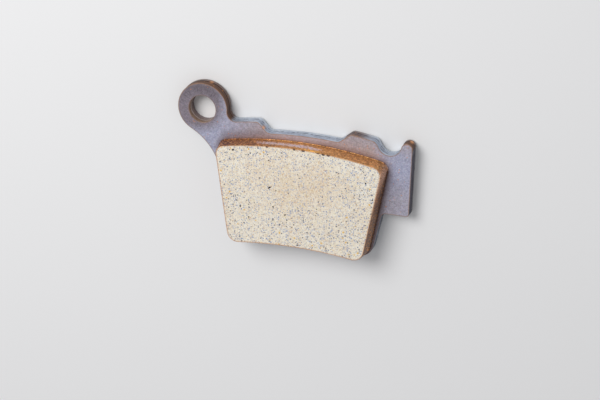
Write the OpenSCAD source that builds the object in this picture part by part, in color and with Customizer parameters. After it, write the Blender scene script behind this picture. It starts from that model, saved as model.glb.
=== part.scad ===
// Disc brake pad of the pin-and-hook kind, lying on its back.
// A blanked steel backing plate carries a sintered friction block.
// Origin: axis of the pin bore, in the plane of the plate's back face.
// +X runs along the pad from the eye to the hook, +Z out of the friction face.

/* [Pin eye] */
// Diameter of the bore for the retaining pin
pin_bore_d = 10; // [8:0.1:12]
// Chamfer round the front rim of the bore
pin_chamfer = 0.1; // [0.1:0.05:0.5]
// Distance along the pad from the bore's centre to the eye's
eye_x = 0.1; // [-0.3:0.05:0.3]
// Distance across the pad from the bore's centre to the eye's
eye_y = 0.4; // [-0.3:0.05:0.6]
// Outside diameter of the eye round the bore
eye_d = 18.5; // [16:0.1:20]
// Radius of the hollow in the neck between the eye and the near shoulder
neck_r = 3; // [2:0.1:4]
// Radius of the long hollow under the arm that carries the eye
arm_r = 22; // [18:0.5:28]
// Direction from the bore to the middle of that hollow, in degrees
arm_angle = -117.4; // [-122:0.2:-114]

/* [Backing plate] */
// Thickness of the plate
plate_t = 5.2; // [4:0.1:6]
// Distance from the pin bore to the middle line of the pad
middle_x = 37.6; // [36:0.1:39]
// Height of the near shoulder above the friction face's top edge
near_shoulder_h = 6.6; // [6:0.05:7]
// Height of the far shoulder above the friction face's top edge
far_shoulder_h = 6.7; // [6:0.05:7.2]
// Height of the recess floor above the friction face's top edge
recess_floor_h = 2.65; // [2:0.05:3]
// Distance along the pad from the middle line to the crown of the recess floor
recess_lean = 2.5; // [0:0.1:4]
// Distance from the middle line to the centre of the near shoulder's corner
near_corner_x = 17.6; // [17:0.1:19]
// Radius of the near shoulder's corner
near_corner_r = 2.4; // [1:0.1:3.5]
// Distance from the middle line to the centre of the recess's near fillet
near_fillet_x = 12; // [11:0.1:13]
// Radius of the recess's near fillet
near_fillet_r = 3; // [1:0.1:3.5]
// Distance from the middle line to the centre of the recess's far fillet
far_fillet_x = 12.2; // [11:0.1:13.5]
// Radius of the recess's far fillet
far_fillet_r = 1.8; // [1:0.1:3]
// Distance from the middle line to the centre of the far shoulder's inner corner
far_corner_x = 17.5; // [16.5:0.1:18.5]
// Radius of the far shoulder's inner corner
far_corner_r = 1.5; // [1:0.1:3]
// Distance from the middle line to the centre of the far shoulder's outer corner
outer_corner_x = 24.2; // [23:0.1:25]
// Radius of the far shoulder's outer corner
outer_corner_r = 3; // [1:0.1:3.5]
// Width that the plate shows beside the block's foot on the eye's side
heel_margin = 1.45; // [1.3:0.05:2]
// Width that the plate shows beside the block's foot on the hook's side
toe_margin = 1.9; // [1.6:0.05:2.5]
// Depth that the plate reaches below the friction face's foot edge
foot_margin = 0.75; // [0.7:0.05:1]
// Radius of the plate's foot corner on the eye's side
heel_r = 4.5; // [3:0.1:6]
// Radius of the plate's foot corner on the hook's side
toe_r = 5; // [4.5:0.1:5.5]

/* [Tab and hook] */
// Distance from the pin bore to the tab's outer edge
tab_reach = 76.95; // [75:0.05:79]
// Width of the tab at its root
tab_w = 10; // [9:0.1:11]
// Height of the tab from its foot to the hook's tip
tab_h = 27.2; // [24:0.1:29]
// Depth of the hook's tip below the pin bore's centre
hook_drop = 2.25; // [2:0.1:4]
// Radius of the hook's rounded tip
hook_r = 2.1; // [1.5:0.05:2.3]
// Distance from the tab's outer edge to the middle of the notch
notch_in = 8.3; // [7.9:0.05:8.8]
// Depth of the notch below the hook's tip
notch_depth = 5.2; // [4.5:0.1:6]
// Radius of the notch's round floor
notch_r = 4.2; // [3.8:0.05:4.4]
// Radius of the tab's foot corner
tab_corner_r = 1; // [0.6:0.1:2]
// Radius of the fillet between the tab's foot and the plate
tab_root_r = 1.8; // [1:0.1:3]

/* [Blanked edge] */
// Width of the rolled-over edge round the back face
roll_w = 0.45; // [0.1:0.05:0.6]
// Height of that rolled-over edge
roll_h = 1; // [0.2:0.05:1.2]
// Height at which the smooth sheared band ends and the fracture begins
shear_h = 2.3; // [1.5:0.1:3]
// Width that the fractured band falls back by
fracture_w = 0.04; // [0.02:0.02:0.1]
// Width and height of the worn rim round the front face
rim_w = 0.08; // [0.04:0.02:0.2]

/* [Friction block] */
// Thickness of the friction block
block_t = 6.4; // [5:0.1:7]
// Distance from the pin bore's centre down to the friction face's top edge
face_drop = 7.45; // [7:0.1:8.5]
// Height of the friction face on the middle line
face_h = 37.15; // [35:0.1:39]
// Width of the friction face across its top corners
face_top_w = 60; // [57:0.1:61]
// Width of the friction face across its foot corners
face_foot_w = 50.5; // [48:0.1:52]
// Radius of the friction face's arched top edge
face_top_r = 143; // [120:1:170]
// Radius of the friction face's hollow foot edge
face_foot_r = 161; // [130:1:200]
// Radius of the friction face's top corners
top_corner_r = 3.2; // [2.5:0.1:4]
// Radius of the friction face's foot corners
foot_corner_r = 3.8; // [3:0.1:5]
// Width that the block's sides spread by from the face to the plate
side_draft = 1; // [0.4:0.1:1.1]
// Width that the block's top and foot spread by from the face to the plate
end_draft = 0.15; // [0.05:0.05:0.2]
// Width and height of the broken edge round the friction face
edge_break = 0.15; // [0.05:0.05:0.4]
// Width and height of the fillet of matrix metal where the block meets the plate
bond_fillet = 0.15; // [0.05:0.05:0.2]

/* [Fineness] */
// Largest gap between a curve and its facets
facet_gap = 0.01; // [0.005:0.005:0.03]

/* [Hidden] */

plate_colour = [0.62, 0.60, 0.67];
block_colour = [0.86, 0.80, 0.72];

// Height of the little ramp where the sheared band gives way to the fracture
break_h = 0.1;
// Two arcs count as touching when their circles miss each other by less than this
join_slack = 0.0001;
// Share of its own length by which a cutter passes through a face
cut_over = 0.2;
// Centre of the eye's outer round, as seen from the bore's centre at the origin
eye_centre = [eye_x, eye_y];
// The pad's arched edges share this centre, far below the pad
arch_centre = [middle_x, -face_drop - face_top_r];
// Centre of the hollow foot edges
foot_centre = [middle_x, -face_drop - face_h - face_foot_r];
// Radii of the crowns of the two shoulders
near_arc_r = face_top_r + near_shoulder_h;
far_arc_r = face_top_r + far_shoulder_h;
// The recess floor has its own centre, a little nearer the hook
recess_centre = arch_centre + [recess_lean, 0];
recess_arc_r = face_top_r + recess_floor_h;
plate_foot_r = face_foot_r - foot_margin;
hook_y = -hook_drop - hook_r;
tab_foot_y = -hook_drop - tab_h;

// An outline is a closed loop of arcs, each [x, y, radius], with straight tangents between them.
// The loop runs counter-clockwise, and a hollow arc has a negative radius.

// Centre that lies dx to the side of c and a distance r from it, above c
function over(c, r, dx) = [c.x + dx, c.y + sqrt(r * r - dx * dx)];

// Rounded corner or hollow of radius r, placed by its centre
function arc(centre, r) = [centre.x, centre.y, r];

// Point at distance ra from a and rb from b, on the left of the way from a to b
function meet(a, ra, b, rb) =
    let (gap = norm(b - a))
    let (along = (gap * gap + ra * ra - rb * rb) / (2 * gap))
    let (aside = sqrt(ra * ra - along * along))
    let (u = (b - a) / gap)
    a + along * u + aside * [-u.y, u.x];

// Direction of the straight tangent that leaves arc a and reaches arc b
function heading(a, b) =
    let (gap = norm([b.x - a.x, b.y - a.y]))
    atan2(b.y - a.y, b.x - a.x) - asin(max(-1, min(1, (b.z - a.z) / gap)));

function headings(arcs) =
    [for (i = [0 : len(arcs) - 1]) heading(arcs[i], arcs[(i + 1) % len(arcs)])];

// Angle that arc i turns through, signed as its radius is
function turn(arcs, way, i) =
    let (raw = (way[i] - way[(i + len(arcs) - 1) % len(arcs)]) * sign(arcs[i].z) % 360)
    let (full = raw < 0 ? raw + 360 : raw)
    (full > 359 ? 0 : full) * sign(arcs[i].z);

// Number of facets on each arc, so that none strays more than facet_gap from the curve
function facets(arcs) =
    let (way = headings(arcs))
    [for (i = [0 : len(arcs) - 1])
        max(1, ceil(abs(turn(arcs, way, i)) / (2 * acos(1 - facet_gap / abs(arcs[i].z)))))];

// True where arc i starts at the very point where the arc before it ends
function joined(arcs, i) =
    let (a = arcs[(i + len(arcs) - 1) % len(arcs)])
    let (b = arcs[i])
    let (gap = norm([b.x - a.x, b.y - a.y]))
    abs(gap - abs(b.z - a.z)) < join_slack;

// Points of the outline at height z, moved inwards by inset
function ring(arcs, counts, inset, z) =
    let (way = headings(arcs))
    [for (i = [0 : len(arcs) - 1])
        let (from = way[(i + len(arcs) - 1) % len(arcs)])
        let (sweep = turn(arcs, way, i))
        let (r = arcs[i].z - inset)
        for (k = [joined(arcs, i) ? 1 : 0 : counts[i]])
            let (a = from + sweep * k / counts[i])
            [arcs[i].x + r * sin(a), arcs[i].y - r * cos(a), z]];

// Twice the area of triangle a b c, positive where it runs round to the left
function twice_area(a, b, c) = (b.x - a.x) * (c.y - a.y) - (b.y - a.y) * (c.x - a.x);

// True where corner k of the loop can be cut off as a triangle with no other corner in it
function is_ear(points, loop, k) =
    let (n = len(loop))
    let (a = points[loop[(k + n - 1) % n]])
    let (b = points[loop[k]])
    let (c = points[loop[(k + 1) % n]])
    twice_area(a, b, c) > 0 && len([for (q = loop)
        let (p = points[q])
        if (p != a && p != b && p != c
            && twice_area(a, b, p) >= 0 && twice_area(b, c, p) >= 0 && twice_area(c, a, p) >= 0) q]) == 0;

// First corner from k on that can be cut off
function next_ear(points, loop, k) =
    is_ear(points, loop, k % len(loop)) ? k % len(loop) : next_ear(points, loop, k + 1);

// Triangles that fill the outline, as its corners are cut off one after another
function cap(points) =
    [for (
        loop = [for (i = [0 : len(points) - 1]) i], k = next_ear(points, loop, 0);
        len(loop) > 2;
        loop = [for (i = [0 : len(loop) - 1]) if (i != k) loop[i]],
        k = len(loop) > 2 ? next_ear(points, loop, k + 1) : 0
    )
        let (n = len(loop))
        [loop[(k + n - 1) % n], loop[k], loop[(k + 1) % n]]];

// Closed solid through a stack of rings with equal numbers of points.
// Each wall panel is two triangles, because the panels of a spreading wall are a little twisted.
module ring_stack(rings) {
    n = len(rings[0]);
    top = len(rings) - 1;
    fill = cap(rings[top]);
    floor_faces = fill;
    roof_faces = [for (t = fill) [top * n + t[2], top * n + t[1], top * n + t[0]]];
    wall_faces = [for (k = [0 : top - 1], i = [0 : n - 1])
        let (j = (i + 1) % n)
        each [
            [k * n + i, (k + 1) * n + i, (k + 1) * n + j],
            [k * n + i, (k + 1) * n + j, k * n + j]
        ]];
    polyhedron([for (one = rings) each one], concat(floor_faces, roof_faces, wall_faces));
}

// Rounded corner that touches a shoulder's crown from below
function shoulder_corner(crown_r, dx, r) = arc(over(arch_centre, crown_r - r, dx), r);

// Hollow corner that touches the recess floor from above
function recess_fillet(dx, r) = arc(over(recess_centre, recess_arc_r + r, dx - recess_lean), -r);

// Outline of the backing plate, from the eye down, along the foot and back over the top
function plate_arcs() =
    let (eye_r = eye_d / 2)
    let (heel_x = -face_foot_w / 2 - heel_margin + heel_r)
    let (toe_x = face_foot_w / 2 + toe_margin - toe_r)
    [
        arc(eye_centre, eye_r),
        arc(eye_centre + (eye_r + arm_r) * [cos(arm_angle), sin(arm_angle)], -arm_r),
        arc(over(foot_centre, plate_foot_r + heel_r, heel_x), heel_r),
        arc(foot_centre, -plate_foot_r),
        arc(over(foot_centre, plate_foot_r + toe_r, toe_x), toe_r),
        arc([tab_reach - tab_w + tab_root_r, tab_foot_y - tab_root_r], -tab_root_r),
        arc([tab_reach - tab_corner_r, tab_foot_y + tab_corner_r], tab_corner_r),
        arc([tab_reach - hook_r, hook_y], hook_r),
        arc([tab_reach - notch_in, -hook_drop - notch_depth + notch_r], -notch_r),
        shoulder_corner(far_arc_r, outer_corner_x, outer_corner_r),
        arc(arch_centre, far_arc_r),
        shoulder_corner(far_arc_r, far_corner_x, far_corner_r),
        recess_fillet(far_fillet_x, far_fillet_r),
        arc(recess_centre, recess_arc_r),
        recess_fillet(-near_fillet_x, near_fillet_r),
        shoulder_corner(near_arc_r, -near_corner_x, near_corner_r),
        arc(arch_centre, near_arc_r),
        arc(meet(eye_centre, eye_r + neck_r, arch_centre, near_arc_r + neck_r), -neck_r)
    ];

// Outline of the friction block, at the plate where spread is 1 and at the face where it is 0
function block_arcs(spread) =
    let (grow = end_draft * spread)
    let (aside = (side_draft - end_draft) * spread)
    let (top_r = top_corner_r + grow)
    let (foot_r = foot_corner_r + grow)
    let (top_x = face_top_w / 2 - top_corner_r + aside)
    let (foot_x = face_foot_w / 2 - foot_corner_r + aside)
    let (top_edge_r = face_top_r + grow)
    let (foot_edge_r = face_foot_r - grow)
    [
        arc(over(arch_centre, top_edge_r - top_r, -top_x), top_r),
        arc(over(foot_centre, foot_edge_r + foot_r, -foot_x), foot_r),
        arc(foot_centre, -foot_edge_r),
        arc(over(foot_centre, foot_edge_r + foot_r, foot_x), foot_r),
        arc(over(arch_centre, top_edge_r - top_r, top_x), top_r),
        arc(arch_centre, top_edge_r)
    ];

// The blanked edge from the back face to the front, as [height, inset] pairs:
// rolled edge, smooth sheared band, rougher fractured band, worn front rim
function blanked_edge() = concat(
    [for (a = [0 : 18 : 90]) [roll_h * (1 - cos(a)), roll_w * (1 - sin(a))]],
    [
        [shear_h, 0],
        [shear_h + break_h, fracture_w / 2],
        [plate_t - rim_w, fracture_w],
        [plate_t, fracture_w + rim_w]
    ]);

// Bore for the retaining pin, chamfered at the front
module pin_bore() {
    r = pin_bore_d / 2;
    over_h = plate_t * cut_over;
    translate([0, 0, -over_h])
        cylinder(h = plate_t + 2 * over_h, r = r, $fn = 96);
    translate([0, 0, plate_t - pin_chamfer])
        cylinder(h = 2 * pin_chamfer, r1 = r, r2 = r + 2 * pin_chamfer, $fn = 96);
}

module backing_plate() {
    arcs = plate_arcs();
    counts = facets(arcs);
    color(plate_colour)
        difference() {
            ring_stack([for (step = blanked_edge()) ring(arcs, counts, step[1], step[0])]);
            pin_bore();
        }
}

// The block's wall from the plate to the face, as [height, spread, inset]
function block_wall() = [
    [0, 1, -bond_fillet],
    [bond_fillet / 3, 1, -bond_fillet / 3],
    [bond_fillet, 1, 0],
    [block_t - edge_break, 0, -edge_break],
    [block_t, 0, 0]
];

module friction_block() {
    counts = facets(block_arcs(0));
    color(block_colour)
        ring_stack([for (step = block_wall())
            ring(block_arcs(step[1]), counts, step[2], plate_t + step[0])]);
}

backing_plate();
friction_block();
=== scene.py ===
"""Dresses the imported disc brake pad: a blanked steel backing plate and a sintered friction block."""

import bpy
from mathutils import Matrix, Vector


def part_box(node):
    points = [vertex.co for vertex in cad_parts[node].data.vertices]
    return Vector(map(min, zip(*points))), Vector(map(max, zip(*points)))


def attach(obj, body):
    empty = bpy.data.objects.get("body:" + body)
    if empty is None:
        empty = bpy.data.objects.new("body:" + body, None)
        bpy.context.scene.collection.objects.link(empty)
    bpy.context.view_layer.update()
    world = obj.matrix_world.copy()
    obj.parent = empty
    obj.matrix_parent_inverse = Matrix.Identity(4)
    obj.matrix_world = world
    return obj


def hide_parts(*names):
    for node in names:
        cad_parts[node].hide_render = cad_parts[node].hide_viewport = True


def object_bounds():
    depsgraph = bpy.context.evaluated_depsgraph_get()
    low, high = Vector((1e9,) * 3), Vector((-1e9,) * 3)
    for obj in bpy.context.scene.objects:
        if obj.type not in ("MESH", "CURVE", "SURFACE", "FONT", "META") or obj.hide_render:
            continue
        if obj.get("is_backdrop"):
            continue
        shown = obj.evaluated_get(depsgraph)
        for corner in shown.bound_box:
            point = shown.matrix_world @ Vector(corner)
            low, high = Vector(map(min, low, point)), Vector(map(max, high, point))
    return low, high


bl_info = {
    "name": "Disc brake pad",
    "version": (1, 0, 0),
    "blender": (4, 5, 0),
    "location": "3D View > Sidebar > Brake pad",
    "description": "Builds a pin-and-hook disc brake pad with its blanked edge and ground friction face",
    "category": "Object",
}

import math
import random
from collections import namedtuple

import bpy
import numpy as np
from bpy.props import FloatProperty, FloatVectorProperty, IntProperty, PointerProperty
from mathutils import Matrix, Vector, noise
from mathutils.geometry import delaunay_2d_cdt
from mathutils.kdtree import KDTree

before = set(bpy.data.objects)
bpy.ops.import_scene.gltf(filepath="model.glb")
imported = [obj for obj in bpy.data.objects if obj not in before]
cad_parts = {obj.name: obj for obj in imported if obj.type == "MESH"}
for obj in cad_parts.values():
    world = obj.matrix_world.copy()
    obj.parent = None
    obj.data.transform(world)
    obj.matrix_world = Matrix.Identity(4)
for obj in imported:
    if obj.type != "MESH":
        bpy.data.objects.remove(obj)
cad_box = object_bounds()

MM = 0.001
PLATE_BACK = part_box("backing_plate")[0].z / MM
PLATE_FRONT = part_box("backing_plate")[1].z / MM
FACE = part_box("friction_block")[1].z / MM

# Sizes in mm that the pieces share with the CAD, the last of them the arched top's centre and radius
ROLL_W, ROLL_H = 0.45, 1.0
FRACTURE_W, RAMP_H = 0.04, 0.1
RIM_W = 0.08
BORE_CHAMFER = 0.1
EDGE_BREAK, BOND = 0.15, 0.15
ARCH_X, ARCH_Y, ARCH_R = 37.6, -150.45, 143.0
# Height in mm at which the bore's sheared band ends
BORE_BREAK = 2.9
# Depths in mm of the relief in the torn band, in the block's wall and in the rim of its face
TORN_RELIEF, WALL_RELIEF, RIM_RELIEF = 0.036, 0.055, 0.03
# A distance in mm from the block at which no painted shade from its foot reaches
FAR_OFF = 30.0
# Distances in mm between points on the plate's front, on its back and on the block's foot
FRONT_GRID, BACK_GRID, FOOT_GRID = 0.7, 1.2, 3.0

# Places on the plate's edge where a copper glint is painted as a highlight, and how high in the cut
PAINTED_GLINTS = ((2.4, 9.6, 0.8), (75.9, -2.4, 0.8), (22.6, -4.1, 1.8))
# Pits in the friction face: place, half length and half width in mm, turn in degrees, depth in mm
Pit = namedtuple("Pit", "x y long short turn depth")
LARGE_PIT_DEPTH = 0.22
LARGE_PITS = (
    (14.0, -11.1, 0.5, 0.36, 20), (27.8, -23.3, 0.85, 0.28, 35), (17.1, -32.0, 0.45, 0.3, 80),
    (15.7, -29.9, 0.32, 0.24, 0), (29.3, -30.4, 0.38, 0.28, 120), (33.8, -32.8, 0.4, 0.26, 60),
    (24.1, -20.2, 0.34, 0.24, 10), (27.2, -13.1, 0.3, 0.24, 0), (38.8, -43.6, 0.42, 0.26, 170),
    (62.5, -16.4, 0.36, 0.28, 70), (65.2, -22.2, 0.34, 0.26, 70),
)
# Chips along the arched top edge: distance along the pad and half width, in mm
CHIPS = ((26.5, 0.45), (36.35, 0.4), (39.6, 0.5), (45.05, 0.45), (46.9, 0.55), (48.7, 0.45))


# Outlines, taken from the frame


def cad_loops(name, height, up):
    """Closed outlines in mm, longest first, of the CAD node's flat face at this height.

    Each runs with the material on its left, seen from above where the face looks up."""
    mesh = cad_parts[name].data
    mesh.calc_loop_triangles()
    co = np.empty(len(mesh.vertices) * 3)
    mesh.vertices.foreach_get("co", co)
    co = co.reshape(-1, 3) / MM
    corners = np.empty(len(mesh.loop_triangles) * 3, dtype=int)
    mesh.loop_triangles.foreach_get("vertices", corners)
    corners = corners.reshape(-1, 3)
    flat = corners[(np.abs(co[corners][:, :, 2] - height) < 0.001).all(axis=1)]
    # A side that two triangles share runs both ways and cancels out
    after = {}
    for triangle in flat:
        keys = [tuple(np.round(co[v, :2], 4)) for v in triangle]
        if not up:
            keys.reverse()
        for a, b in zip(keys, keys[1:] + keys[:1]):
            if a in after.get(b, set()):
                after[b].discard(a)
            else:
                after.setdefault(a, set()).add(b)
    loops = []
    while any(after.values()):
        start = next(k for k, v in after.items() if v)
        loop = [start]
        while after.get(loop[-1]):
            step = after[loop[-1]].pop()
            if step == start:
                break
            loop.append(step)
        loops.append(np.array(loop))
    if not loops:
        raise RuntimeError(f"{name} has no flat face at {height} mm")
    return sorted(loops, key=len_of, reverse=True)


def side_lengths(loop):
    """Lengths of a closed outline's sides."""
    return np.linalg.norm(np.roll(loop, -1, axis=0) - loop, axis=1)


def len_of(loop):
    """Length of a closed outline."""
    return side_lengths(loop).sum()


def even_steps(loop, spacing):
    """Places on a closed outline at even distances, as fractional point numbers."""
    along = np.concatenate([[0], np.cumsum(side_lengths(loop))])
    count = int(round(along[-1] / spacing))
    return np.interp(np.arange(count) * along[-1] / count, along, np.arange(len(loop) + 1))


def at_steps(loop, steps):
    """Points of a closed outline at fractional point numbers."""
    closed = np.vstack([loop, loop[:1]])
    index = np.arange(len(closed))
    return np.column_stack([np.interp(steps, index, closed[:, k]) for k in (0, 1)])


def evened(loop, spacing):
    """A closed outline with its points at even distances."""
    return at_steps(loop, even_steps(loop, spacing))


def outward(loop):
    """Unit normals of an outline, away from the material on its left."""
    along = np.roll(loop, -1, axis=0) - np.roll(loop, 1, axis=0)
    along /= np.linalg.norm(along, axis=1)[:, None]
    return np.column_stack([along[:, 1], -along[:, 0]])


def nearest(loops):
    """A search tree over the points of some outlines."""
    points = np.vstack(loops)
    tree = KDTree(len(points))
    for i, (x, y) in enumerate(points):
        tree.insert((x, y, 0), i)
    tree.balance()
    return tree


def gaps_to(tree, points):
    """Distance from each point to the nearest one in a search tree."""
    return np.array([tree.find((x, y, 0))[2] for x, y in points])


def inside(points, loops):
    """True for each point that lies in the material between the outlines."""
    within = np.zeros(len(points), dtype=bool)
    for loop in loops:
        for (ax, ay), (bx, by) in zip(loop, np.roll(loop, -1, axis=0)):
            if ay == by:
                continue
            crossing = (ay > points[:, 1]) != (by > points[:, 1])
            x = ax + (points[:, 1] - ay) * (bx - ax) / (by - ay)
            within ^= crossing & (points[:, 0] < x)
    return within


# Meshes


class Skin:
    """Vertices in mm, faces, a material number for each face, and named values for each vertex."""

    def __init__(self, *values):
        self.co = []
        self.faces = []
        self.materials = []
        self.values = {name: [] for name in values}

    def add(self, flat, z, **values):
        """Adds vertices at places on the pad and their heights, and returns their numbers."""
        first = len(self.co)
        flat = np.asarray(flat)
        self.co.extend(map(tuple, np.column_stack([flat, np.broadcast_to(z, len(flat))])))
        for name, column in self.values.items():
            column.extend(np.broadcast_to(values.get(name, 0.0), len(flat)).tolist())
        return list(range(first, len(self.co)))

    def outline(self, row):
        """The places on the pad of a row of vertices."""
        return np.array([self.co[n][:2] for n in row])

    def face(self, corners, material):
        self.faces.append(tuple(int(c) for c in corners))
        self.materials.append(material)

    def wall(self, rows, material):
        """Joins rows of vertices into a wall, from the top one, which has the material on its left."""
        for upper, lower in zip(rows, rows[1:]):
            for i in range(len(upper)):
                j = (i + 1) % len(upper)
                self.face((upper[i], lower[i], lower[j], upper[j]), material)

    def fill(self, rows, height, spacing, material, up=True, shape=None, drop=None, **values):
        """Fills a flat face between rows of vertices that exist, with a grid of inner points.

        Shape changes that grid and drop sinks it. A value is worked out from its points and their
        distances from the outlines."""
        loops = [self.outline(row) for row in rows]
        rim = np.vstack(loops)
        low, high = rim.min(axis=0), rim.max(axis=0)
        inner = []
        pick = random.Random(5)
        jitter = 0.12
        row_gap = spacing * math.sqrt(3) / 2
        for j in range(int((high[1] - low[1]) / row_gap) + 1):
            for i in range(int((high[0] - low[0]) / spacing) + 1):
                x = low[0] + (i + 0.5 * (j % 2)) * spacing + pick.uniform(-jitter, jitter) * spacing
                y = low[1] + j * row_gap + pick.uniform(-jitter, jitter) * spacing
                inner.append((x, y))
        inner = np.array(inner)
        if shape:
            inner = shape(inner)
        inner = inner[inside(inner, loops)]
        gaps = gaps_to(nearest(loops), inner)
        # No inner point comes so near an outline that slivers form
        keep = gaps > 0.45 * min(spacing, 0.4)
        inner, gaps = inner[keep], gaps[keep]
        sunk = drop(inner) if drop else 0.0
        numbers = self.add(inner, height - sunk if up else height + sunk,
                           **{name: make(inner, gaps) for name, make in values.items()})
        order = [n for row in rows for n in row] + numbers
        edges, first = [], 0
        for loop in loops:
            edges += [(first + i, first + (i + 1) % len(loop)) for i in range(len(loop))]
            first += len(loop)
        found = delaunay_2d_cdt([Vector(p) for p in np.vstack([rim, inner])], edges, [], 0, 1e-7)
        where = np.array([tuple(p) for p in found[0]])
        origin = [o[0] for o in found[3]]
        middles = np.array([where[list(f)].mean(axis=0) for f in found[2]])
        # A triangle on an outline belongs where it runs along with it, and not where it runs against it
        forward = set(edges)
        for f, held in zip(found[2], inside(middles, loops)):
            given = [origin[v] for v in f]
            sides = list(zip(given, given[1:] + given[:1]))
            if any(side in forward for side in sides):
                held = True
            elif any((b, a) in forward for a, b in sides):
                held = False
            if held:
                corners = [order[v] for v in given]
                self.face(corners if up else corners[::-1], material)

    def build(self, name, materials):
        """Makes the object, smooth but for its real corners."""
        mesh = bpy.data.meshes.new(name)
        mesh.from_pydata((np.array(self.co) * MM).tolist(), [], self.faces)
        for material in materials:
            mesh.materials.append(material)
        mesh.polygons.foreach_set("material_index", self.materials)
        for key, column in self.values.items():
            attribute = mesh.attributes.new(key, "FLOAT", "POINT")
            attribute.data.foreach_set("value", column)
        mesh.validate()
        mesh.shade_smooth()
        mesh.set_sharp_from_angle(angle=math.radians(38))
        made = bpy.data.objects.new(name, mesh)
        bpy.context.scene.collection.objects.link(made)
        return made


def grain(flat, z, size, seed=0.0):
    """Smooth noise from -1 to 1 at places in mm, its lumps about this size."""
    shift = Vector((seed * 17.3, seed * -9.1, seed * 4.7))
    points = np.column_stack([flat, np.broadcast_to(z, len(flat))])
    return np.array([noise.noise(Vector(p) / size + shift) for p in points])


def rough_grain(flat, z, size):
    """Noise of three sizes, each half the last."""
    return sum(grain(flat, z, size / 2 ** k, k) / 2 ** k for k in range(3)) / 1.5


# Nodes


def linear(colour):
    """The linear values of a colour written as sRGB hex, and anything else as it is."""
    if not str(colour).startswith("#"):
        return colour
    parts = [int(colour[i:i + 2], 16) / 255 for i in (1, 3, 5)]
    return [p / 12.92 if p <= 0.04045 else ((p + 0.055) / 1.055) ** 2.4 for p in parts] + [1.0]


def add(tree, kind, inputs=(), stops=(), **settings):
    """Adds a node with its settings, inputs and colour stops, and returns it.

    Inputs are given by name or number, or as a plain list in the node's own order."""
    made = tree.nodes.new(kind)
    for name, value in settings.items():
        setattr(made, name, value)
    for socket, value in inputs.items() if isinstance(inputs, dict) else enumerate(inputs):
        if isinstance(value, bpy.types.Node):
            value = value.outputs[0]
        if isinstance(value, bpy.types.NodeSocket):
            tree.links.new(value, made.inputs[socket])
        else:
            made.inputs[socket].default_value = linear(value)
    if stops:
        elements = made.color_ramp.elements
        elements.remove(elements[1])
        elements[0].position, elements[0].color = stops[0][0], linear(stops[0][1])
        for place, colour in stops[1:]:
            elements.new(place).color = linear(colour)
    return made


# A Mix node's sockets for colours
FACTOR, FIRST, SECOND, MIXED = 0, 6, 7, 2


def coats(tree, base, layers):
    """Lays colours over a base colour in order, and gives the last result.

    A layer is a mask or a list of masks to multiply, a colour, and a blend where it isn't the plain one."""
    for masks, colour, *blend in layers:
        mask, *others = masks if isinstance(masks, list) else [masks]
        for other in others:
            mask = add(tree, "ShaderNodeMath", [mask, other], operation="MULTIPLY")
        mixed = add(tree, "ShaderNodeMix", {FACTOR: mask, FIRST: base, SECOND: colour},
                    data_type="RGBA", blend_type=blend[0] if blend else "MIX")
        base = mixed.outputs[MIXED]
    return base


def specks(tree, place, scale, least, near, far, strength):
    """A mask of round specks in those cells of a pattern whose own number is over the least.

    Each fades out between the near and the far distance from its middle, in cells."""
    cells = add(tree, "ShaderNodeTexVoronoi", {"Vector": place, "Scale": scale})
    number = add(tree, "ShaderNodeSeparateColor", [cells.outputs["Color"]])
    chosen = add(tree, "ShaderNodeMath", [number, least], operation="GREATER_THAN")
    speck = add(tree, "ShaderNodeMapRange", [cells.outputs["Distance"], near, far, strength, 0.0])
    return add(tree, "ShaderNodeMath", [speck, chosen], operation="MULTIPLY")


def swayed(tree, mm, value, scale, detail, gain, shift):
    """A value with noise added, its lumps 1 / scale mm wide, after a gain and a shift."""
    lumps = add(tree, "ShaderNodeTexNoise", {"Vector": mm, "Scale": scale, "Detail": detail})
    sway = add(tree, "ShaderNodeMath", [lumps, gain, shift], operation="MULTIPLY_ADD")
    return add(tree, "ShaderNodeMath", [value, sway], operation="ADD")


def new_material(name, paint, colours=None, values=()):
    """A material whose main shader takes the inputs that the paint function gives.

    That function gets the tree, the place on the piece in mm, the colours and the piece's named values."""
    material = bpy.data.materials.new(name)
    material.use_nodes = True
    tree = material.node_tree
    tree.nodes.clear()
    place = add(tree, "ShaderNodeTexCoord").outputs["Object"]
    mm = add(tree, "ShaderNodeVectorMath", {0: place, "Scale": 1 / MM}, operation="SCALE")
    read = {value: add(tree, "ShaderNodeAttribute", attribute_name=value).outputs["Fac"] for value in values}
    shader = add(tree, "ShaderNodeBsdfPrincipled", paint(tree, mm, colours, **read))
    add(tree, "ShaderNodeOutputMaterial", [shader])
    return material


# Settings in the sidebar


def shade(name, description, code):
    """A colour that a user would change."""
    return FloatVectorProperty(
        name=name, description=description, subtype="COLOR", size=4, min=0, max=1,
        default=linear(code))


def distance(name, description, mm, least, most):
    """A length that a user would change, given in mm."""
    return FloatProperty(
        name=name, description=description, unit="LENGTH",
        default=mm * MM, min=least * MM, max=most * MM)


class PadSizes(bpy.types.PropertyGroup):
    """Sizes of the surface detail that a user would change."""

    edge_spacing: distance("Edge spacing", "Distance between points round the plate's edge", 0.35, 0.2, 1.0)
    shear_height: distance(
        "Sheared band", "Height at which the sheared band gives way to the fracture", 2.3, 1.5, 3.0)
    wall_spacing: distance("Wall spacing", "Distance between points on the block's wall", 0.24, 0.2, 1.0)
    face_spacing: distance("Face spacing", "Distance between points on the friction face", 0.42, 0.3, 1.0)
    small_pits: IntProperty(
        name="Small pits", description="Number of small pits scattered over the friction face",
        default=90, min=0, max=300)
    granule_size: distance(
        "Granule size", "Half width of a copper granule in the block's wall", 0.13, 0.05, 0.3)
    granules: FloatProperty(
        name="Granules", description="Number of copper granules on each square millimetre of wall",
        default=1.6, min=0, max=4)


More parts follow.
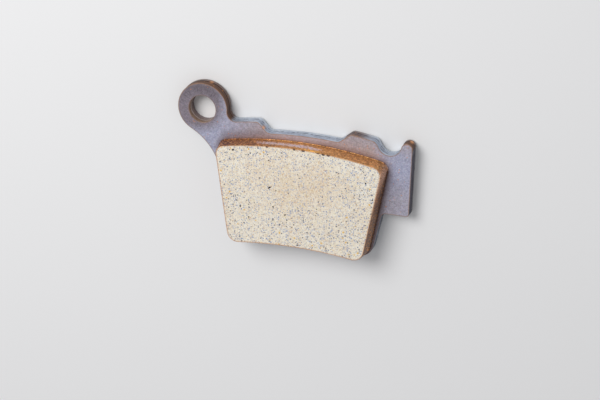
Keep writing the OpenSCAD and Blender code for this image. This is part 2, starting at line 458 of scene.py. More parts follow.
class PadColours(bpy.types.PropertyGroup):
    """Colours of the steel and of the sintered metal."""

    steel_cool: shade("Cool steel", "Plate face where the furnace left it clean", "#B2B5CC")
    steel_warm: shade("Warm steel", "Plate face where copper vapour tinged it", "#B5AAAE")
    steel_eye: shade("Eye", "Greyer plate face round the pin eye", "#8A7F86")
    steel_sheared: shade("Sheared edge", "Burnished band of the blanked edge", "#C4CEDA")
    steel_torn: shade("Torn edge", "Fractured band of the blanked edge", "#B4BECF")
    steel_brown: shade("Browned edge", "Blanked edge where the furnace browned it", "#A68A78")
    # Painted shade for the tab's end, which faces away from the light, and for the edge below the tab in the
    # block's shadow
    steel_painted_shade: shade("Dusky edge", "Blanked edge at the tab's end and below the tab", "#423C48")
    copper: shade("Copper", "Granules and flecks of copper", "#BE8450")
    # It also paints the shade at the block's foot, on its wall and on the plate beside it
    wall_dark: shade("Wall hollows", "Hollows between the grains of the block's wall", "#543522")
    wall_bright: shade("Wall grains", "Bright grains of the block's wall", "#DDA463")
    face_pale: shade("Pale face", "Ground friction face near its edges", "#EAE5D8")
    face_warm: shade("Warm face", "Ground friction face in its middle", "#DCC5A6")
    graphite: shade("Graphite", "Pits in the friction face, open to the graphite", "#2C2C38")


class PAD_OT_plate(bpy.types.Operator):
    """Makes the blanked steel backing plate"""

    bl_idname = "pad.plate"
    bl_label = "Backing plate"

    def execute(self, context):
        make_plate(context.scene.pad_sizes, context.scene.pad_colours)
        return {"FINISHED"}


class PAD_OT_block(bpy.types.Operator):
    """Makes the sintered friction block and the copper granules that stand out of its wall"""

    bl_idname = "pad.block"
    bl_label = "Friction block"

    def execute(self, context):
        sizes, colours = context.scene.pad_sizes, context.scene.pad_colours
        block = make_block(sizes, colours)
        make_granules(context, block, sizes, colours)
        for piece in (block, bpy.data.objects["copper_granules"]):
            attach(piece, "root")
            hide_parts("friction_block")
        return {"FINISHED"}


class PAD_OT_stage(bpy.types.Operator):
    """Makes the pale floor, the soft light and the camera"""

    bl_idname = "pad.stage"
    bl_label = "Studio"

    def execute(self, context):
        make_stage(context.scene)
        return {"FINISHED"}


class PAD_PT_panel(bpy.types.Panel):
    """Lists the pad's sizes, colours and pieces"""

    bl_label = "Brake pad"
    bl_idname = "PAD_PT_panel"
    bl_space_type = "VIEW_3D"
    bl_region_type = "UI"
    bl_category = "Brake pad"

    def draw(self, context):
        for group in (context.scene.pad_sizes, context.scene.pad_colours):
            for name in group.bl_rna.properties.keys():
                if name not in ("rna_type", "name"):
                    self.layout.prop(group, name)
        for operator in (PAD_OT_plate, PAD_OT_block, PAD_OT_stage):
            self.layout.operator(operator.bl_idname)


# Materials


def blasted_steel(tree, mm, colours, warm, halo, inland, block_gap):
    """Mild steel plate, blasted with grit before the sintering furnace.

    It looks matt and faintly sparkling, cool where clean and pinkish where copper vapour settled."""
    # Copper vapour settles in drifts about 10 mm wide
    warmth = swayed(tree, mm, warm, 0.11, 3.0, 0.5, -0.27)

    # The eye, round the origin, is greyer but for the side by the arm, and painted shade darkens it along its
    # top
    place = add(tree, "ShaderNodeSeparateXYZ", [mm]).outputs
    flat = add(tree, "ShaderNodeVectorMath", [mm, (1.0, 1.0, 0.0)], operation="MULTIPLY")
    reach = add(tree, "ShaderNodeVectorMath", [flat], operation="LENGTH").outputs["Value"]
    greyest = add(tree, "ShaderNodeVectorMath", [flat, (-2.2, 2.2, 0.0)], operation="DISTANCE")
    near_eye = add(tree, "ShaderNodeMapRange", [greyest.outputs["Value"], 8.2, 12.2, 0.9, 0.0])
    # Painted shade along the eye's top, stronger higher up
    high = add(tree, "ShaderNodeMapRange", [place["Y"], 1.0, 8.0, 0.0, 0.45])

    # Blasting leaves dimples of about 0.2 mm, drawn at 0.45 mm so that they show
    dimples = add(tree, "ShaderNodeTexNoise", {"Vector": mm, "Scale": 2.2, "Detail": 3.0, "Roughness": 0.65})
    sharp = add(tree, "ShaderNodeMapRange", [dimples, 0.34, 0.66, 0.12, 0.88])
    tints = add(tree, "ShaderNodeTexNoise", {"Vector": mm, "Scale": 2.6, "Detail": 2.0, "Roughness": 0.8})

    # Short radial marks round the eye from the punch's stripper plate, 6 to 9 mm out and strongest on top
    angle = add(tree, "ShaderNodeMath", [place["Y"], place["X"]], operation="ARCTAN2")
    spokes = add(tree, "ShaderNodeTexNoise", {"W": angle, "Scale": 15.0, "Detail": 1.0},
                 noise_dimensions="1D")
    marks = [add(tree, "ShaderNodeMapRange", span) for span in (
        [spokes, 0.58, 0.72, 0.0, 0.4], [reach, 5.8, 6.6, 0.0, 1.0], [reach, 7.8, 9.0, 1.0, 0.0],
        [place["Y"], 1.0, 5.0, 0.3, 1.3])]

    # Specks of copper, about 0.35 mm, in half of the cells of 1.3 mm
    speck = specks(tree, mm, 0.77, 0.5, 0.07, 0.19, 0.85)
    # A worn rim, 0.3 mm wide, where handling laid the copper bare, fainter round the bore
    rim = add(tree, "ShaderNodeMapRange", [inland, 0.12, 0.42, 1.5, 0.0])
    rim = add(tree, "ShaderNodeMath", [rim, tints], operation="MULTIPLY", use_clamp=True)
    kept = add(tree, "ShaderNodeMapRange", [reach, 5.4, 6.4, 0.4, 1.0])
    # A painted dark contact shade at the foot of the block, 0.4 mm wide, and a softer brown painted shade out
    # to 2.4 mm
    foot = add(tree, "ShaderNodeMapRange", [block_gap, 0.1, 0.55, 0.75, 0.0])
    painted_contact_shade = add(tree, "ShaderNodeMapRange", [block_gap, 0.3, 2.4, 0.42, 0.0], interpolation_type="SMOOTHSTEP")

    # The halo is a painted soft shade beside the block's top near the eye
    return {
        "Base Color": coats(tree, colours.steel_cool, [
            (warmth, colours.steel_warm), (near_eye, colours.steel_eye), ([high, near_eye], "#5A5258"),
            ([halo, 0.32], "#5E545E"), (0.34, sharp, "OVERLAY"), (0.18, tints.outputs["Color"], "OVERLAY"),
            (marks, "#4C474F"), (speck, "#E0945A"), ([rim, kept], colours.steel_brown),
            (foot, colours.wall_dark), (painted_contact_shade, "#6E5450")]),
        "Roughness": add(tree, "ShaderNodeMapRange", [dimples, 0.3, 0.7, 0.46, 0.62]),
        "Normal": add(tree, "ShaderNodeBump", {"Height": dimples, "Strength": 0.5, "Distance": 0.04 * MM}),
        "Metallic": 0.85,
    }


def blanked_edge(tree, mm, colours, cut, tint, dusk, glint):
    """Edge of the plate as the press left it: a burnished sheared band under a torn one.

    The sheared band shines with fine lines along it, and a broken dark line parts it from the torn band."""
    level = swayed(tree, mm, cut, 1.6, 2.0, 0.1, -0.05)
    level = add(tree, "ShaderNodeMath", [level, 2.0], operation="DIVIDE")
    silver = add(tree, "ShaderNodeValToRGB", [level], stops=[
        (0.0, "#A4ACBA"), (0.08, colours.steel_sheared), (0.47, colours.steel_sheared),
        (0.53, colours.steel_torn), (0.92, colours.steel_torn), (1.0, colours.steel_brown)])
    brown = add(tree, "ShaderNodeValToRGB", [level], stops=[
        (0.0, "#6E5C58"), (0.12, "#806C66"), (0.44, "#70584C"), (0.50, "#3A2C26"), (0.56, "#62463A"),
        (0.92, "#745440"), (1.0, "#A67C5C")])

    # Broken dark lines along the edge: in the sheared band, where the shear stops, and in the torn band
    seams = add(tree, "ShaderNodeValToRGB", [level], stops=[
        (height, [strength] * 3 + [1]) for height, strength in (
            (0.16, 0), (0.23, 0.35), (0.30, 0), (0.42, 0), (0.50, 0.95), (0.56, 0),
            (0.66, 0), (0.73, 0.7), (0.79, 0))])
    breaks = add(tree, "ShaderNodeTexNoise", {"Vector": mm, "Scale": 0.7, "Detail": 3.0})
    broken = add(tree, "ShaderNodeMapRange", [breaks, 0.44, 0.54, 0.05, 1.0])

    # The die draws lines through the thickness, 0.1 mm apart, shown at 0.25 mm
    drawn = add(tree, "ShaderNodeVectorMath", [mm, (4.0, 4.0, 0.25)], operation="MULTIPLY")
    lines = add(tree, "ShaderNodeTexNoise", {"Vector": drawn, "Scale": 1.0, "Detail": 2.0})
    # Sheets of mill scale and wear run along the edge, 0.2 mm high, shown at 0.4 mm
    layered = add(tree, "ShaderNodeVectorMath", [mm, (0.2, 0.2, 2.4)], operation="MULTIPLY")
    streaks = add(tree, "ShaderNodeTexNoise", {"Vector": layered, "Scale": 1.0, "Detail": 2.0})
    strong = add(tree, "ShaderNodeMapRange", [streaks, 0.36, 0.64, 0.1, 0.9])
    # Flecks of copper, about 0.45 mm, on the browned stretches, and a painted copper highlight at a few
    # places
    fleck = specks(tree, mm, 0.7, 0.62, 0.12, 0.2, 1.0)
    height = add(tree, "ShaderNodeMath", [lines, streaks], operation="ADD")
    return {
        # The edge gets painted shade at the tab's end and below the tab
        "Base Color": coats(tree, silver, [
            (tint, brown), (dusk, colours.steel_painted_shade), ([seams, broken], "#3C3840"),
            (0.34, strong, "OVERLAY"), (0.22, lines, "OVERLAY"), ([fleck, tint], colours.copper),
            (glint, "#FFB476")]),
        "Roughness": add(tree, "ShaderNodeMapRange", [level, 0.48, 0.54, 0.32, 0.55]),
        "Normal": add(tree, "ShaderNodeBump", {"Height": height, "Strength": 0.35, "Distance": 0.03 * MM}),
        "Metallic": 0.75,
    }


def pierced_bore(tree, mm, colours, cut):
    """Wall of the punched bore, browned in the furnace.

    It looks brown, with a painted highlight as a bright broken ring where the sheared band ends, and greyer
    towards the back."""
    level = swayed(tree, mm, cut, 0.8, 3.0, 0.24, -0.12)
    level = add(tree, "ShaderNodeMath", [level, 2.0], operation="DIVIDE")
    # The pale stop in the middle is a painted highlight along the line where the sheared band ends
    bands = add(tree, "ShaderNodeValToRGB", [level], stops=[
        (0.0, "#8A7E84"), (0.30, "#90807C"), (0.46, "#8A7672"), (0.51, "#CFC2BC"), (0.56, "#8C7366"),
        (0.90, "#A58A74"), (1.0, colours.steel_brown)])
    specked = add(tree, "ShaderNodeTexNoise", {"Vector": mm, "Scale": 2.6, "Detail": 3.0})
    return {
        "Base Color": coats(tree, bands, [(0.5, specked, "OVERLAY")]),
        "Roughness": 0.48,
        "Normal": add(tree, "ShaderNodeBump", {"Height": specked, "Strength": 0.4, "Distance": 0.04 * MM}),
        "Metallic": 0.85,
    }


def ground_sinter(tree, mm, colours, warm, inland, pit):
    """Copper, iron and graphite powder, sintered and then ground flat.

    It looks pale and matt, a dense speckle of cream, grey, tan and a little yellow with graphite pits."""
    layers = [(swayed(tree, mm, warm, 0.14, 3.0, 1.6, -0.8), colours.face_warm)]

    # Powder grains of 0.3 to 0.7 mm, their outlines pushed about by a finer noise
    push = add(tree, "ShaderNodeTexNoise", {"Vector": mm, "Scale": 2.5, "Detail": 2.0})
    pushed = add(tree, "ShaderNodeVectorMath", [push.outputs["Color"], (0.5, 0.5, 0.5), mm],
                 operation="MULTIPLY_ADD")
    for scale, strength, kinds in (
            (1.4, 0.16, ((0.0, "#D2C4B2"), (0.34, "#E6DFD2"), (0.66, "#C9BFB4"), (0.84, "#BCC2CC"),
                         (0.93, "#CBA581"))),
            (3.0, 0.52, ((0.0, "#E2D6C2"), (0.36, "#F2ECDA"), (0.64, "#D2C0A6"), (0.80, "#96A8C8"),
                         (0.87, "#C09468"), (0.92, "#D8CC94"), (0.955, "#8D8A90")))):
        grains = add(tree, "ShaderNodeTexVoronoi", {"Vector": pushed, "Scale": scale})
        number = add(tree, "ShaderNodeSeparateColor", [grains.outputs["Color"]])
        tones = add(tree, "ShaderNodeValToRGB", [number], stops=kinds)
        tones.color_ramp.interpolation = "CONSTANT"
        layers.append((strength, tones))

    # Specks of 0.4 to 0.7 mm, thicker towards the edges: slate blue, graphite, brass yellow
    for scale, least, strength, colour in (
            (1.6, 0.46, 0.9, "#5878AC"), (1.15, 0.76, 0.85, "#464A5C"), (0.9, 0.86, 0.9, "#E2B24A")):
        sparse = add(tree, "ShaderNodeMath", [warm, 0.4, least], operation="MULTIPLY_ADD")
        layers.append((specks(tree, pushed, scale, sparse, 0.22, 0.38, strength), colour))

    # The rim crumbles a little and shows the copper matrix
    rim = add(tree, "ShaderNodeMapRange", [inland, 0.05, 0.5, 1.4, 0.0])
    dark = add(tree, "ShaderNodeMapRange", [pit, 0.05, 0.3, 0.0, 1.0])
    layers += [([rim, push], colours.copper), (dark, colours.graphite)]

    # The grinding wheel leaves lines along the pad, 0.1 mm apart, shown at 0.3 mm
    ground = add(tree, "ShaderNodeVectorMath", [mm, (0.05, 3.2, 1.0)], operation="MULTIPLY")
    lines = add(tree, "ShaderNodeTexNoise", {"Vector": ground, "Scale": 1.0, "Detail": 2.0})
    height = add(tree, "ShaderNodeMath", [push, lines], operation="ADD")
    return {
        "Base Color": coats(tree, colours.face_pale, layers),
        "Roughness": 0.55,
        "Normal": add(tree, "ShaderNodeBump", {"Height": height, "Strength": 0.3, "Distance": 0.03 * MM}),
        "Metallic": 0.25,
    }


def pressed_sinter(tree, mm, colours, gilt, dull, pale, sooty, glow, polish, depth, pit):
    """The same powder as pressed against the die wall, with its copper left unground.

    It looks like coarse orange and brown grains, smeared smooth where the die rubbed it, with a lilac painted
    reflection there."""
    # Grains of about 0.3 mm, drawn at 0.5 mm so that they show, and longer the way the block was pushed out
    push = add(tree, "ShaderNodeTexNoise", {"Vector": mm, "Scale": 1.8, "Detail": 3.0})
    pushed = add(tree, "ShaderNodeVectorMath", [push.outputs["Color"], (0.7, 0.7, 0.7), mm],
                 operation="MULTIPLY_ADD")
    pushed = add(tree, "ShaderNodeVectorMath", [pushed, (1.0, 1.0, 0.75)], operation="MULTIPLY")
    grains = add(tree, "ShaderNodeTexVoronoi", {"Vector": pushed, "Scale": 1.9})
    number = add(tree, "ShaderNodeSeparateColor", [grains.outputs["Color"]])
    tones = add(tree, "ShaderNodeValToRGB", [number], stops=[
        (0.0, colours.wall_dark), (0.2, "#70432A"), (0.35, "#A06A3C"), (0.65, colours.copper),
        (0.85, colours.wall_bright), (1.0, "#F2C284")])
    fine = add(tree, "ShaderNodeTexNoise", {"Vector": mm, "Scale": 3.2, "Detail": 2.0})
    crisp = add(tree, "ShaderNodeMapRange", [fine, 0.36, 0.64, 0.12, 0.88])
    grainy = coats(tree, tones, [(0.7, crisp, "OVERLAY")])

    # The arched top runs from browned copper by the eye to bright copper by the hook
    browned = coats(tree, grainy, [(1.0, "#C0AB9D", "MULTIPLY")])
    bright = coats(tree, grainy, [(0.5, colours.wall_bright)])
    # The die smeared the middle of the arched top in patches about 1 mm wide, and a pale lilac painted
    # reflection lies on them
    along = add(tree, "ShaderNodeVectorMath", [mm, (1.0, 1.0, 2.2)], operation="MULTIPLY")
    smear = add(tree, "ShaderNodeTexNoise", {"Vector": along, "Scale": 1.0, "Detail": 4.0, "Roughness": 0.7})
    patchy = add(tree, "ShaderNodeMapRange", [smear, 0.36, 0.64])
    rubbed_and_sheen = add(tree, "ShaderNodeMath", [patchy, polish], operation="ADD")
    rubbed_and_sheen = add(tree, "ShaderNodeMapRange", [rubbed_and_sheen, 1.05, 1.4, 0.0, 0.88])
    foot = add(tree, "ShaderNodeMapRange", [depth, 5.0, 6.3, 0.0, 0.85])
    layers = [
        (gilt, bright),
        # Away from the arched top the wall is painted duller, a painted shade on the walls that face away
        # from the light
        ([dull, 0.45], "#AA958E"),
        # The hook's side runs paler at its upper end and darker at its lower end
        ([pale, crisp, 2.0], "#FFD2B4"), ([sooty, crisp, 2.0], "#4E4448"),
        # The light catches clean copper in a patch by the face
        ([glow, crisp, 2.6], "#FFBE5A"),
        # Open hollows and single bright grains, about 0.5 mm across
        (specks(tree, pushed, 1.25, 0.45, 0.2, 0.34, 0.8), colours.wall_dark),
        (specks(tree, pushed, 1.0, 0.55, 0.2, 0.34, 0.75), "#F0A868"),
        (rubbed_and_sheen, "#DACDD4"),
        # Painted shade darkens the foot of the wall where it meets the plate, and the graphite shows where
        # its rim is chipped
        ([foot, dull], colours.wall_dark), (pit, colours.graphite),
    ]
    return {
        "Base Color": coats(tree, browned, layers),
        "Roughness": add(tree, "ShaderNodeMapRange", [rubbed_and_sheen, 0.0, 1.0, 0.5, 0.38]),
        "Normal": add(tree, "ShaderNodeBump", {
            "Height": grains.outputs["Distance"], "Strength": 0.7, "Distance": 0.1 * MM}, invert=True),
        "Metallic": 0.75,
    }


def copper_grains(tree, mm, colours):
    """Copper powder grains fused to the wall: rounded, bright in some and browned in others."""
    each = add(tree, "ShaderNodeTexNoise", {"Vector": mm, "Scale": 1.4, "Detail": 1.0})
    tones = add(tree, "ShaderNodeValToRGB", [each], stops=[
        (0.3, "#8C5B40"), (0.5, colours.copper), (0.68, "#E0AC78")])
    return {"Base Color": tones, "Roughness": 0.36, "Metallic": 1.0}


def painted_floor(tree, mm, colours):
    """Matt painted board: plain and pale, so that the pad stands out from it."""
    return {"Base Color": "#DCDCDC", "Roughness": 0.9}


# Pieces


def rise(value, low, high):
    """Smooth step from 0 below low to 1 above high."""
    t = np.clip((value - low) / (high - low), 0, 1)
    return t * t * (3 - 2 * t)


def above_arch(points):
    """Distance in mm above the arched top edge of the friction face."""
    return np.linalg.norm(points - np.array([ARCH_X, ARCH_Y]), axis=1) - ARCH_R


def on_arch(points):
    """True for each point on the arched top edge."""
    return above_arch(points) > -0.4


def copper_drift(points):
    """How far copper vapour tinged the plate's face at some points, from 0 to 1."""
    x, y = points.T
    strip = rise(above_arch(points), -1, 0.5) * rise(x, 3, 26) * (1 - rise(x, 62, 67))
    hook = rise(x, 71, 74) * rise(y, -9, -4)
    tab_foot = rise(x, 62, 66) * (1 - rise(y, -26, -14))
    return np.clip(0.12 + 0.8 * strip + 0.5 * hook + 0.45 * tab_foot, 0, 1)


def painted_shade_halo(points):
    """How much painted shade darkens the plate's face beside the block's top near the eye, from 0 to 1."""
    x = points[:, 0]
    return np.exp(-((above_arch(points) - 2.2) / 1.4) ** 2) * rise(x, 5, 9) * (1 - rise(x, 20, 30))


def browning(points):
    """How far the furnace browned the blanked edge, from 0 to 1."""
    x, y = points.T
    eye = (1 - rise(np.linalg.norm(points, axis=1), 10.2, 12.5)) * rise(y, -9, -2)
    hump = rise(x, 51.5, 53) * (1 - rise(x, 57, 63)) * rise(y, -5, -3)
    hook = rise(x, 72, 74) * rise(y, -6.5, -4)
    return np.clip(eye + 0.75 * hump + hook + 0.12, 0, 1)


def painted_edge_shade(points):
    """How much painted shade darkens the blanked edge at the tab's end and below the tab, from 0 to 1."""
    x, y = points.T
    tab_end = 0.9 * rise(x, 76.4, 76.8) * (1 - 0.7 * rise(y, -7, -4))
    below_tab = 0.55 * rise(x, 56, 60) * (1 - rise(y, -28, -24))
    return np.maximum(tab_end, below_tab)


def glinting(points, zone):
    """How strong the painted copper highlight is on the blanked edge at this place in the cut, from 0 to 1.
    """
    glint = np.zeros(len(points))
    for x, y, high in PAINTED_GLINTS:
        near = np.linalg.norm(points - (x, y), axis=1) / 0.6
        glint = np.maximum(glint, np.exp(-near ** 2) * math.exp(-((zone - high) / 0.4) ** 2))
    return 0.9 * glint


def edge_rows(outline, shear):
    """Rows of the blanked edge from the front rim to the back: height, distance out, place in the cut.

    That place is 2 at the front, 1 where the shear gives way to the fracture and 0 at the back."""
    level = np.ones(len(outline))
    broken = shear + 0.3 * grain(outline, 0, 5) + 0.14 * grain(outline, 0, 1.2, 2)
    torn_top, torn_foot = PLATE_FRONT - RIM_W, broken + RAMP_H
    full = FRACTURE_W + RIM_W
    yield PLATE_FRONT * level, 0.0, 2.0
    yield torn_top * level, RIM_W, 1.9
    for t in np.linspace(0.14, 0.86, 6):
        yield torn_top * (1 - t) + torn_foot * t, RIM_W, 1.9 - 0.85 * t
    yield torn_foot, RIM_W, 1.05
    yield broken, full, 1.0
    for t in np.linspace(0.25, 0.75, 3):
        yield broken * (1 - t) + ROLL_H * t, full, 1 - 0.75 * t
    for t in np.linspace(1, 0, 6):
        a = t * math.pi / 2
        yield ROLL_H * (1 - math.cos(a)) * level, full - ROLL_W * (1 - math.sin(a)), 0.25 * t


def bore_rows(ring):
    """Rows of the bore's wall below its front rim: height, place in the cut."""
    broken = BORE_BREAK + 0.25 * grain(ring, 0, 3, 7)
    for share, zone in ((1.0, 1.95), (0.7, 1.6), (0.4, 1.3), (0.1, 1.05), (0.0, 1.0)):
        yield broken * (1 - share) + (PLATE_FRONT - BORE_CHAMFER) * share, zone
    for share, zone in ((0.75, 0.8), (0.4, 0.5), (0.0, 0.2)):
        yield broken * share, zone


def make_plate(sizes, colours):
    """The backing plate, with its blanked edge, its punched bore and both its faces."""
    spacing = sizes.edge_spacing / MM
    outer, bore = (evened(loop, spacing) for loop in cad_loops("backing_plate", PLATE_FRONT, True)[:2])
    back_bore = min(cad_loops("backing_plate", PLATE_BACK, False), key=len_of)
    block_foot = nearest([evened(cad_loops("friction_block", PLATE_FRONT, False)[0], 0.3)])
    skin = Skin("cut", "inland", "block_gap", "warm", "halo", "tint", "dusk", "glint")

    normal = outward(outer)
    tones = {"tint": browning(outer), "warm": copper_drift(outer), "dusk": painted_edge_shade(outer)}
    edge = []
    for z, out, zone in edge_rows(outer, sizes.shear_height / MM):
        flat = outer + normal * out
        # Only the torn band has relief
        if 1.04 < zone < 1.95:
            flat = flat - normal * (TORN_RELIEF * (1 + rough_grain(flat, z, 0.9)))[:, None]
        edge.append(skin.add(flat, z, cut=zone, block_gap=gaps_to(block_foot, flat),
                             glint=glinting(outer, zone), **tones))
    skin.wall(edge, 1)

    ring = bore / np.linalg.norm(bore, axis=1)[:, None] * np.linalg.norm(back_bore, axis=1).mean()
    hole = [skin.add(bore, PLATE_FRONT, cut=2.0, block_gap=FAR_OFF)]
    hole += [skin.add(ring, z, cut=zone, block_gap=FAR_OFF) for z, zone in bore_rows(ring)]
    skin.wall(hole, 2)

    skin.fill([edge[0], hole[0]], PLATE_FRONT, FRONT_GRID, 0, inland=lambda points, gaps: gaps,
              block_gap=lambda points, gaps: gaps_to(block_foot, points),
              warm=lambda points, gaps: copper_drift(points), halo=lambda points, gaps: painted_shade_halo(points))
    skin.fill([edge[-1], hole[-1]], PLATE_BACK, BACK_GRID, 0, up=False, inland=lambda points, gaps: gaps,
              block_gap=lambda points, gaps: FAR_OFF, warm=lambda points, gaps: 0.45)
    plate = skin.build("backing_plate_steel", [
        new_material("Blasted steel", blasted_steel, colours, ("warm", "halo", "inland", "block_gap")),
        new_material("Blanked steel edge", blanked_edge, colours, ("cut", "tint", "dusk", "glint")),
        new_material("Pierced steel bore", pierced_bore, colours, ("cut",))])
    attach(plate, "root")
    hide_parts("backing_plate")


def all_pits(loop, count):
    """The larger pits of the friction face and many small ones."""
    pick = random.Random(11)
    pits = [Pit(*pit, LARGE_PIT_DEPTH) for pit in LARGE_PITS]
    low, high = loop.min(axis=0), loop.max(axis=0)
    while len(pits) < len(LARGE_PITS) + count:
        x, y = pick.uniform(low[0], high[0]), pick.uniform(low[1], high[1])
        size, narrow = pick.uniform(0.12, 0.27), pick.uniform(0.6, 1.0)
        turn, depth = pick.uniform(0, 180), pick.uniform(0.05, 0.14)
        if inside(np.array([[x, y]]), [loop])[0]:
            pits.append(Pit(x, y, size, size * narrow, turn, depth))
    return pits


def ragged(pit, angle):
    """How far a pit's rim lies out at some angles, as a share of its half sizes."""
    return 1 + 0.16 * np.sin(3 * angle + pit.x) + 0.1 * np.sin(5 * angle + pit.y)


def pit_reach(pit, points):
    """Distance of points from a pit's middle, 1 on its ragged rim."""
    t = math.radians(pit.turn)
    dx, dy = points[:, 0] - pit.x, points[:, 1] - pit.y
    u = (dx * math.cos(t) + dy * math.sin(t)) / pit.long
    v = (dy * math.cos(t) - dx * math.sin(t)) / pit.short
    return np.hypot(u, v) / ragged(pit, np.arctan2(v, u))


def pit_rings(pit):
    """Rings of points in a pit, from its rim to its middle."""
    t = math.radians(pit.turn)
    for share, count in ((1.0, 14), (0.78, 12), (0.45, 7), (0.0, 1)):
        angle = np.arange(count) * 2 * math.pi / count + share
        out = share * ragged(pit, angle)
        u, v = pit.long * out * np.cos(angle), pit.short * out * np.sin(angle)
        yield np.column_stack([
            pit.x + u * math.cos(t) - v * math.sin(t), pit.y + u * math.sin(t) + v * math.cos(t)])


def sunk(pits, points, floor, depths):
    """How deep the pits take each point, each by its own depth, with a flat floor as far as this reach."""
    return np.max([
        depth * (1 - rise(pit_reach(pit, points), floor, 0.98)) for pit, depth in zip(pits, depths)], axis=0)


def chipping(top):
    """How far the rim of the friction face is chipped at its points, from 0 to 1."""
    chip = np.zeros(len(top))
    for x, half in CHIPS:
        chip = np.maximum(chip, on_arch(top) * np.exp(-((top[:, 0] - x) / half) ** 2))
    return np.clip(chip + 0.5 * np.clip(grain(top, 0, 0.7, 4) - 0.45, 0, 1), 0, 1)


def wall_tones(top):
    """How gilt the block's wall is at points of its rim, how much painted shade dulls it, and how pale and
    how dark the hook's side runs, each from 0 to 1.
    """
    x, y = top.T
    off_top = 1 - rise(above_arch(top), -5, -0.5)
    dull = off_top * (1 - 0.45 * rise(x, 50, 60) * rise(y, -30, -12))
    hook_side = rise(x, 52, 60)
    return {
        "gilt": 0.5 * dull + (1 - dull) * rise(x, 12, 46),
        "dull": dull,
        "pale": 0.6 * hook_side * rise(y, -30, -14) * (1 - rise(y, -12.5, -10.5)),
        "sooty": 0.4 * hook_side * (1 - rise(y, -34, -24)),
    }


def make_block(sizes, colours):
    """The friction block, with its drafted wall, its chipped rim and its pitted face."""
    face = cad_loops("friction_block", FACE, True)[0]
    base = cad_loops("friction_block", PLATE_FRONT, False)[0]
    if len(base) != len(face):
        raise RuntimeError("the block's two outlines do not match")
    start = int(np.argmin(np.linalg.norm(base - face[0], axis=1)))
    steps = even_steps(face, sizes.wall_spacing / MM)
    top, foot = at_steps(face, steps), at_steps(np.roll(base, -start, axis=0), steps)
    out = outward(top)
    foot_in = foot - outward(foot) * BOND
    crest = top + out * EDGE_BREAK
    height = FACE - PLATE_FRONT
    chip, tones = chipping(top), wall_tones(top)
    patches = ("glow", "polish", "depth", "pit")
    skin = Skin("inland", "warm", "granular", *tones, *patches)

    x = top[:, 0]
    rubbed_and_sheen = rise(above_arch(top), -1.5, -0.2) * rise(x, 20, 30) * (1 - rise(x, 44, 52))
    rows = []
    for depth in (0, 0.06, EDGE_BREAK, *np.linspace(0.35, height - BOND, 26), height - BOND / 3, height):
        if depth <= EDGE_BREAK:
            flat = top + (crest - top) * depth / EDGE_BREAK
        elif depth <= height - BOND:
            share = (depth - EDGE_BREAK) / (height - BOND - EDGE_BREAK)
            flat = crest + (foot_in - crest) * share
        else:
            flat = foot_in + (foot - foot_in) * (1.0 if depth == height else 0.33)
        z = FACE - depth * np.ones(len(top))
        # Grains give the wall its relief, less where the die rubbed it, and chips bite into its rim
        polish = rubbed_and_sheen * np.exp(-((depth - 3.0) / 1.7) ** 2)
        relief = (WALL_RELIEF if depth else RIM_RELIEF) * (1 + rough_grain(flat, z, 0.8))
        fade = max(0.0, 1 - depth / 0.8)
        flat = flat - out * (relief * (1 - 0.35 * polish) + 0.28 * chip * fade)[:, None]
        z = z - 0.12 * chip * (depth == 0)
        granular = (0.3 < depth < height - 0.3) * (1 - 0.8 * polish)
        glow = on_arch(top) * np.exp(-((x - 43.2) / 2.4) ** 2) * math.exp(-((depth - 0.6) / 0.8) ** 2)
        rows.append(skin.add(flat, z, depth=depth, glow=glow, polish=polish, pit=0.9 * chip * fade,
                             granular=granular, warm=0.3, **tones))
    skin.wall(rows, 1)

    pits = all_pits(skin.outline(rows[0]), sizes.small_pits)

    def with_pits(points):
        """Clears the grid round each pit and sets rings of points there instead."""
        for pit in pits:
            points = points[pit_reach(pit, points) > 1.15]
        return np.vstack([points] + [ring for pit in pits for ring in pit_rings(pit)])

    def worn_warm(points, gaps):
        """How far the middle of the face is warmer than its edges."""
        x, y = points.T
        return 0.15 + 0.75 * np.exp(-((x - 36) / 17) ** 2 - ((y + 21) / 9) ** 2)

    skin.fill([rows[0]], FACE, sizes.face_spacing / MM, 0, shape=with_pits,
              drop=lambda points: sunk(pits, points, 0.45, [pit.depth for pit in pits]),
              pit=lambda points, gaps: sunk(pits, points, 0.5, [1.0] * len(pits)),
              warm=worn_warm, inland=lambda points, gaps: gaps)
    skin.fill([rows[-1]], PLATE_FRONT, FOOT_GRID, 1, up=False, depth=lambda points, gaps: height)
    return skin.build("friction_block_sintered", [
        new_material("Ground sintered metal", ground_sinter, colours, ("warm", "inland", "pit")),
        new_material("Pressed sintered metal", pressed_sinter, colours, (*tones, *patches))])


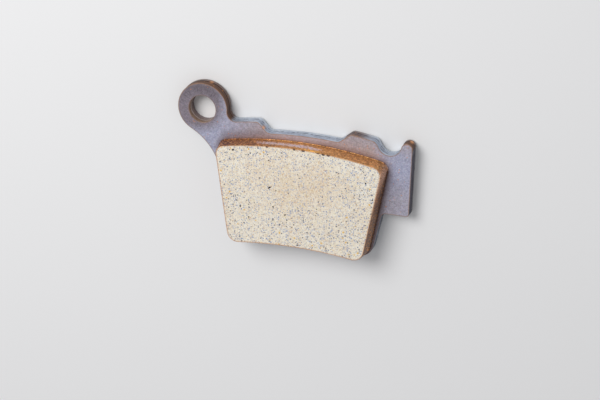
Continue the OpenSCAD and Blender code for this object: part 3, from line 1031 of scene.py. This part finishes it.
def make_granules(context, block, sizes, colours):
    """Scatters small fused copper grains over the block's wall and keeps them as a plain mesh."""
    tree = bpy.data.node_groups.new("Copper granules", "GeometryNodeTree")
    socket = {}
    for name, kind in (("Block", "Geometry"), ("Size", "Float"), ("Density", "Float"), ("Seed", "Int")):
        socket[name] = tree.interface.new_socket(name, in_out="INPUT", socket_type=f"NodeSocket{kind}")
    tree.interface.new_socket("Granules", in_out="OUTPUT", socket_type="NodeSocketGeometry")
    given = add(tree, "NodeGroupInput").outputs
    wall = add(tree, "GeometryNodeInputNamedAttribute", {"Name": "granular"}, data_type="FLOAT")
    density = add(tree, "ShaderNodeMath", [wall, given["Density"]], operation="MULTIPLY")
    spots = add(tree, "GeometryNodeDistributePointsOnFaces", {
        "Mesh": given["Block"], "Density": density, "Seed": given["Seed"]})
    ball = add(tree, "GeometryNodeMeshIcoSphere", {"Radius": given["Size"], "Subdivisions": 1})
    turn = add(tree, "FunctionNodeRandomValue", {2: 0.0, 3: math.tau, "Seed": 1}, data_type="FLOAT")
    spin = add(tree, "FunctionNodeAxisAngleToRotation", {"Axis": (0, 0, 1), "Angle": turn.outputs[1]})
    turned = add(tree, "FunctionNodeRotateRotation", {
        "Rotation": spots.outputs["Rotation"], "Rotate By": spin}, rotation_space="LOCAL")
    scale = add(tree, "FunctionNodeRandomValue", {
        0: (0.7, 0.6, 0.3), 1: (1.9, 1.3, 0.7), "Seed": 2}, data_type="FLOAT_VECTOR")
    placed = add(tree, "GeometryNodeInstanceOnPoints", {
        "Points": spots.outputs["Points"], "Instance": ball, "Rotation": turned, "Scale": scale})
    real = add(tree, "GeometryNodeRealizeInstances", [placed])
    smooth = add(tree, "GeometryNodeSetShadeSmooth", [real])
    dressed = add(tree, "GeometryNodeSetMaterial", {
        "Geometry": smooth, "Material": new_material("Fused copper grains", copper_grains, colours)})
    add(tree, "NodeGroupOutput", [dressed])

    scatter = block.modifiers.new("Granules", "NODES")
    scatter.node_group = tree
    scatter[socket["Size"].identifier] = sizes.granule_size
    scatter[socket["Density"].identifier] = sizes.granules / MM ** 2
    scatter[socket["Seed"].identifier] = 7
    mesh = bpy.data.meshes.new_from_object(block.evaluated_get(context.evaluated_depsgraph_get()))
    block.modifiers.remove(scatter)
    if not mesh.polygons:
        raise RuntimeError("no copper granules were made")
    granules = bpy.data.objects.new("copper_granules", mesh)
    context.scene.collection.objects.link(granules)


def make_stage(scene):
    """The floor just under the pad, an even sky, one soft lamp and the photo's camera."""
    half, below = 1.5, -0.02 * MM
    mesh = bpy.data.meshes.new("floor")
    corners = [(-half, -half), (half, -half), (half, half), (-half, half)]
    mesh.from_pydata([(x, y, below) for x, y in corners], [], [(0, 1, 2, 3)])
    mesh.materials.append(new_material("Pale matt floor", painted_floor))
    floor = bpy.data.objects.new("floor", mesh)
    scene.collection.objects.link(floor)
    floor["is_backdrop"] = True

    world = bpy.data.worlds.new("Studio")
    scene.world = world
    world.use_nodes = True
    sky = world.node_tree.nodes["Background"]
    sky.inputs["Color"].default_value = (0.8, 0.8, 0.82, 1)
    sky.inputs["Strength"].default_value = 0.6

    key = bpy.data.lights.new("Key", "AREA")
    key.shape = "DISK"
    key.size = 0.5
    key.energy = 4.6
    lamp = bpy.data.objects.new("Key", key)
    lamp.location = (-0.25, 0.35, 0.6)
    aim = Vector((0.035, -0.02, 0)) - lamp.location
    lamp.rotation_euler = aim.to_track_quat("-Z", "Y").to_euler()
    scene.collection.objects.link(lamp)

    # Its focal length was measured in pixels of a picture 600 wide
    focal_px, picture_px = 1906.067, 600
    camera = bpy.data.cameras.new("Camera")
    camera.sensor_width = 36
    camera.lens = camera.sensor_width * focal_px / picture_px
    camera.clip_start = 0.01
    eye = bpy.data.objects.new("Camera", camera)
    eye.matrix_world = Matrix((
        (0.9529, -0.1453, 0.2663, 0.21664),
        (0.0318, 0.9209, 0.3885, 0.23275),
        (-0.3017, -0.3617, 0.8821, 0.59957),
        (0, 0, 0, 1)))
    scene.collection.objects.link(eye)
    scene.camera = eye
    scene.view_settings.view_transform = "Standard"


CLASSES = (PadSizes, PadColours, PAD_OT_plate, PAD_OT_block, PAD_OT_stage, PAD_PT_panel)


def register():
    for cls in CLASSES:
        bpy.utils.register_class(cls)
    bpy.types.Scene.pad_sizes = PointerProperty(type=PadSizes)
    bpy.types.Scene.pad_colours = PointerProperty(type=PadColours)


def unregister():
    del bpy.types.Scene.pad_colours
    del bpy.types.Scene.pad_sizes
    for cls in reversed(CLASSES):
        bpy.utils.unregister_class(cls)


def main():
    register()
    bpy.ops.pad.plate()
    bpy.ops.pad.block()
    bpy.ops.pad.stage()
    boxes = {"cad": cad_box, "visual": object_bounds()}
    {name: [list(corner) for corner in box] for name, box in boxes.items()}


if __name__ == "__main__":
    main()
